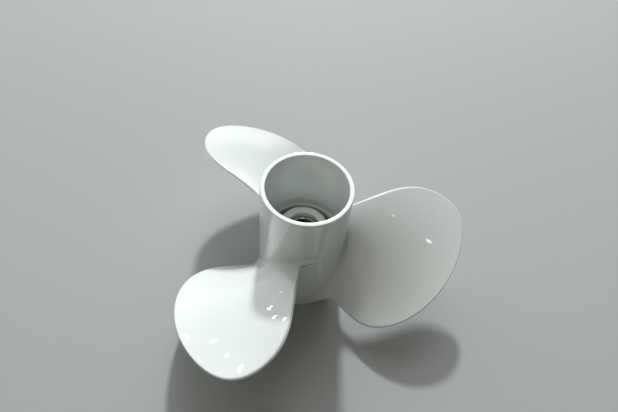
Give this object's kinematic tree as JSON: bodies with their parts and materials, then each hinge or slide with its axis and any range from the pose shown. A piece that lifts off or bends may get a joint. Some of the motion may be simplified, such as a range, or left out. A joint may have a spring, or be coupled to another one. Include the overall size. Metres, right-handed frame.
{
  "type": "outboard motor propeller",
  "caption": "Right-hand boat propeller with broad blades on an open barrel, a hub inside it for the splined shaft and passages round the hub for exhaust.",
  "frame": {"origin": "on the shaft axis, level with the barrel's forward face", "axes": "+Z along the shaft axis towards the open aft end; the first blade's root centre lies 9.6 degrees from +X towards -Y"},
  "size_m": [0.2005, 0.2149, 0.1045],
  "materials": {
    "white_paint": "gloss white paint over cast aluminium",
    "bush_rubber": "matt black moulded rubber",
    "sleeve_metal": "machined stainless steel, dull"
  },
  "bodies": {
    "root": {"barrel": "white_paint", "blade_1": "white_paint", "blade_2": "white_paint", "blade_3": "white_paint", "inner_hub": "white_paint", "rib_1": "white_paint", "rib_2": "white_paint", "rib_3": "white_paint", "rubber_bush": "bush_rubber", "splined_sleeve": "sleeve_metal"}
  },
  "joints": []
}
